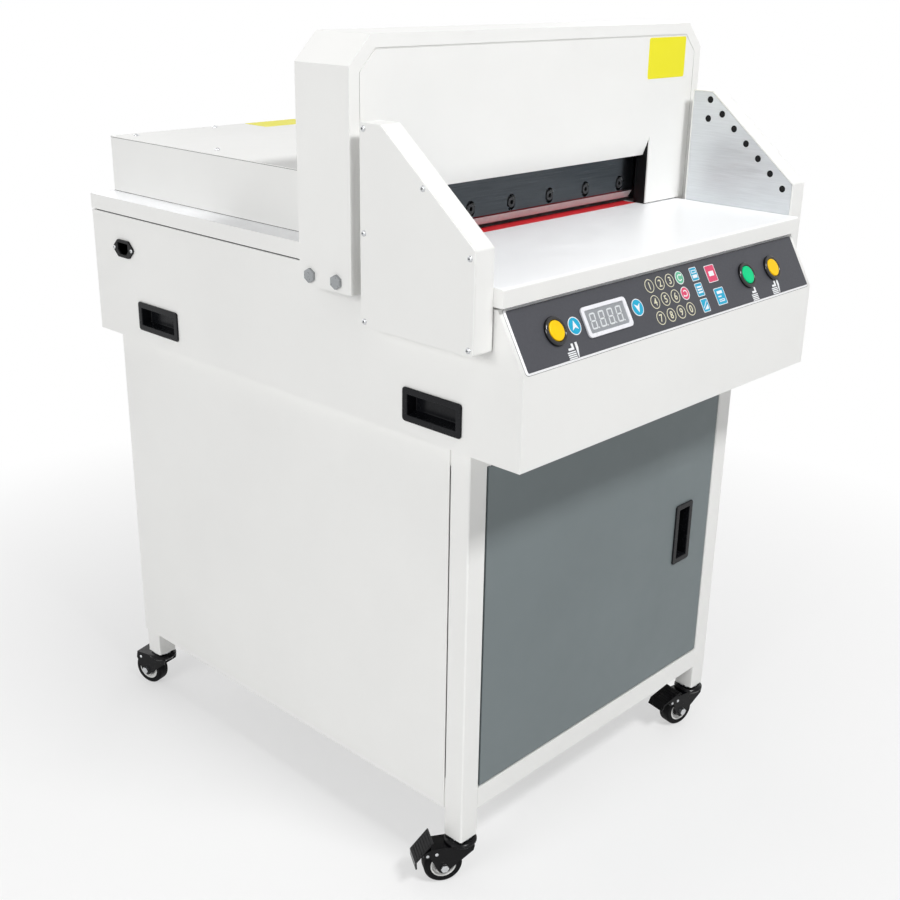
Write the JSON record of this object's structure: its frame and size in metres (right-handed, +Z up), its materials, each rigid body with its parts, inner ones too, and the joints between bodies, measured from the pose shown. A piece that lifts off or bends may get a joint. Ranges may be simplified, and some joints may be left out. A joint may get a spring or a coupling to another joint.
{
  "type": "electric paper cutter on a stand",
  "caption": "Electric guillotine paper cutter: knife and clamp under an arch, control console, side light guards, rear feed housing, on a wheeled cabinet stand with a hinged door.",
  "frame": {"origin": "on the floor, under the middle of the bounding box", "axes": "+X to the right of a person who stands at the console, +Y to the rear, +Z up; the console and door face -Y"},
  "size_m": [0.66, 0.8048, 1.02],
  "materials": {
    "body_white": "satin powder coat",
    "door_grey": "satin powder coat",
    "black_plastic": "moulded, fine grain",
    "gloss_black": "smooth moulded",
    "black_steel": "black lacquer",
    "caster_tyre": "smooth tread on a pale hub",
    "bright_steel": "bright zinc",
    "dark_casting": "painted casting",
    "dark_steel": "dark machined",
    "blade_steel": "ground, oiled",
    "stick_red": "smooth",
    "console_grey": "satin film",
    "display_frame": "smooth",
    "button_yellow": "smooth",
    "button_green": "smooth",
    "circuit_board": "lacquered",
    "sensor_aluminium": "fine brushed"
  },
  "bodies": {
    "root": {"stand_frame": "body_white", "stand_left_panel": "body_white", "stand_right_panel": "body_white", "stand_rear_panel": "body_white", "stand_floor": "body_white", "door_hinge_pins": "bright_steel", "caster_stems": "bright_steel", "base_housing": "body_white", "bed_frame": "dark_casting", "table": "body_white", "cutting_stick": "stick_red", "lift_handles": "black_plastic", "power_inlet": "black_plastic", "console_overlay": "console_grey", "display_window": "display_frame", "button_collars": "gloss_black", "control_board": "circuit_board", "arch_shell": "body_white", "front_cover": "body_white", "arch_bolts": "bright_steel", "side_frames": "dark_casting", "slot_cheeks": "black_plastic", "crossbeam": "dark_casting", "knife_gearmotor": "dark_casting", "clamp_chain": "bright_steel", "clamp_motor": "dark_casting", "left_guard": "body_white", "right_guard": "body_white", "guard_covers": "body_white", "sensor_plates": "sensor_aluminium", "sensor_strips": "gloss_black", "rear_housing": "body_white", "rear_lid": "body_white", "gauge_rails": "bright_steel", "gauge_motor": "dark_casting"},
    "knife": {"knife_beam": "dark_steel", "blade": "blade_steel", "blade_bolts": "black_steel", "pull_rod": "bright_steel"},
    "crank": {"crank_disc": "bright_steel"},
    "clamp": {"clamp_beam": "dark_steel"},
    "clamp_screw_left": {"clamp_screw_left": "bright_steel"},
    "clamp_screw_right": {"clamp_screw_right": "bright_steel"},
    "back_gauge": {"back_gauge": "bright_steel"},
    "gauge_screw": {"gauge_screw": "bright_steel"},
    "door": {"door": "door_grey", "door_handle": "black_plastic"},
    "caster_fl": {"caster_fl_fork": "black_steel"},
    "caster_fl_wheel": {"caster_fl_wheel": "caster_tyre"},
    "caster_fr": {"caster_fr_fork": "black_steel"},
    "caster_fr_wheel": {"caster_fr_wheel": "caster_tyre"},
    "caster_rl": {"caster_rl_fork": "black_steel"},
    "caster_rl_wheel": {"caster_rl_wheel": "caster_tyre"},
    "caster_rr": {"caster_rr_fork": "black_steel"},
    "caster_rr_wheel": {"caster_rr_wheel": "caster_tyre"},
    "brake_fl": {"caster_fl_brake": "black_steel"},
    "brake_fr": {"caster_fr_brake": "black_steel"},
    "cut_button_left": {"cut_button_left": "button_yellow"},
    "clamp_button": {"clamp_button": "button_green"},
    "cut_button_right": {"cut_button_right": "button_yellow"}
  },
  "joints": [
    {"name": "knife_lift", "type": "slide", "parent": "root", "child": "knife", "axis": [-0.2079, 0, 0.9781], "range_m": [-0.00613, 0.0368]},
    {"name": "crank_turn", "type": "hinge", "parent": "root", "child": "crank", "pos_m": [-0.228, -0.16843, 0.689], "axis": [0, 1, 0], "range_deg": [-25.72, 154.3]},
    {"name": "clamp_press", "type": "slide", "parent": "root", "child": "clamp", "axis": [0, 0, -1], "range_m": [0, 0.0425]},
    {"name": "clamp_screw_left_turn", "type": "hinge", "parent": "root", "child": "clamp_screw_left", "pos_m": [-0.23633, -0.11443, 0.828], "axis": [0, 0, 1], "range_deg": [0, 1912.6]},
    {"name": "clamp_screw_right_turn", "type": "hinge", "parent": "root", "child": "clamp_screw_right", "pos_m": [0.23633, -0.11443, 0.828], "axis": [0, 0, 1], "range_deg": [0, 1912.6]},
    {"name": "gauge_slide", "type": "slide", "parent": "root", "child": "back_gauge", "axis": [0, 1, 0], "range_m": [-0.235, 0.105]},
    {"name": "gauge_screw_turn", "type": "hinge", "parent": "root", "child": "gauge_screw", "pos_m": [0, 0.14457, 0.743], "axis": [0, 1, 0], "range_deg": [-3780.1, 8460.1]},
    {"name": "door_swing", "type": "hinge", "parent": "root", "child": "door", "pos_m": [-0.236, -0.30843, 0.347], "axis": [0, 0, -1], "range_deg": [0, 110]},
    {"name": "caster_fl_swivel", "type": "hinge", "parent": "root", "child": "caster_fl", "pos_m": [-0.258, -0.29843, 0.055], "axis": [0, 0, 1], "continuous": true},
    {"name": "caster_fl_roll", "type": "hinge", "parent": "caster_fl", "child": "caster_fl_wheel", "pos_m": [-0.27835, -0.28571, 0.025], "axis": [-0.5299, -0.848, 0], "continuous": true},
    {"name": "brake_fl_press", "type": "hinge", "parent": "caster_fl", "child": "brake_fl", "pos_m": [-0.29701, -0.27405, 0.046], "axis": [-0.5299, -0.848, 0], "range_deg": [-30, 0]},
    {"name": "caster_fr_swivel", "type": "hinge", "parent": "root", "child": "caster_fr", "pos_m": [0.258, -0.29843, 0.055], "axis": [0, 0, 1], "continuous": true},
    {"name": "caster_fr_roll", "type": "hinge", "parent": "caster_fr", "child": "caster_fr_wheel", "pos_m": [0.23452, -0.29344, 0.025], "axis": [-0.2079, -0.9781, 0], "continuous": true},
    {"name": "brake_fr_press", "type": "hinge", "parent": "caster_fr", "child": "brake_fr", "pos_m": [0.213, -0.28886, 0.046], "axis": [-0.2079, -0.9781, 0], "range_deg": [0, 30]},
    {"name": "caster_rl_swivel", "type": "hinge", "parent": "root", "child": "caster_rl", "pos_m": [-0.2565, 0.35307, 0.055], "axis": [0, 0, 1], "continuous": true},
    {"name": "caster_rl_roll", "type": "hinge", "parent": "caster_rl", "child": "caster_rl_wheel", "pos_m": [-0.26231, 0.37636, 0.025], "axis": [-0.9703, -0.2419, 0], "continuous": true},
    {"name": "caster_rr_swivel", "type": "hinge", "parent": "root", "child": "caster_rr", "pos_m": [0.2565, 0.35307, 0.055], "axis": [0, 0, 1], "continuous": true},
    {"name": "caster_rr_roll", "type": "hinge", "parent": "caster_rr", "child": "caster_rr_wheel", "pos_m": [0.23572, 0.36507, 0.025], "axis": [-0.5, -0.866, 0], "continuous": true},
    {"name": "cut_button_left_press", "type": "slide", "parent": "root", "child": "cut_button_left", "axis": [0, 0.8657, -0.5005], "range_m": [0, 0.004], "stiffness_N_per_m": 600},
    {"name": "clamp_button_press", "type": "slide", "parent": "root", "child": "clamp_button", "axis": [0, 0.8657, -0.5005], "range_m": [0, 0.004], "stiffness_N_per_m": 600},
    {"name": "cut_button_right_press", "type": "slide", "parent": "root", "child": "cut_button_right", "axis": [0, 0.8657, -0.5005], "range_m": [0, 0.004], "stiffness_N_per_m": 600}
  ],
  "couplings": [
    {"joint": "crank_turn", "follows": "knife_lift", "rad_per_m": 73.165},
    {"joint": "clamp_screw_left_turn", "follows": "clamp_press", "rad_per_m": 785.4},
    {"joint": "clamp_screw_right_turn", "follows": "clamp_press", "rad_per_m": 785.4},
    {"joint": "gauge_screw_turn", "follows": "gauge_slide", "rad_per_m": -628.32}
  ]
}
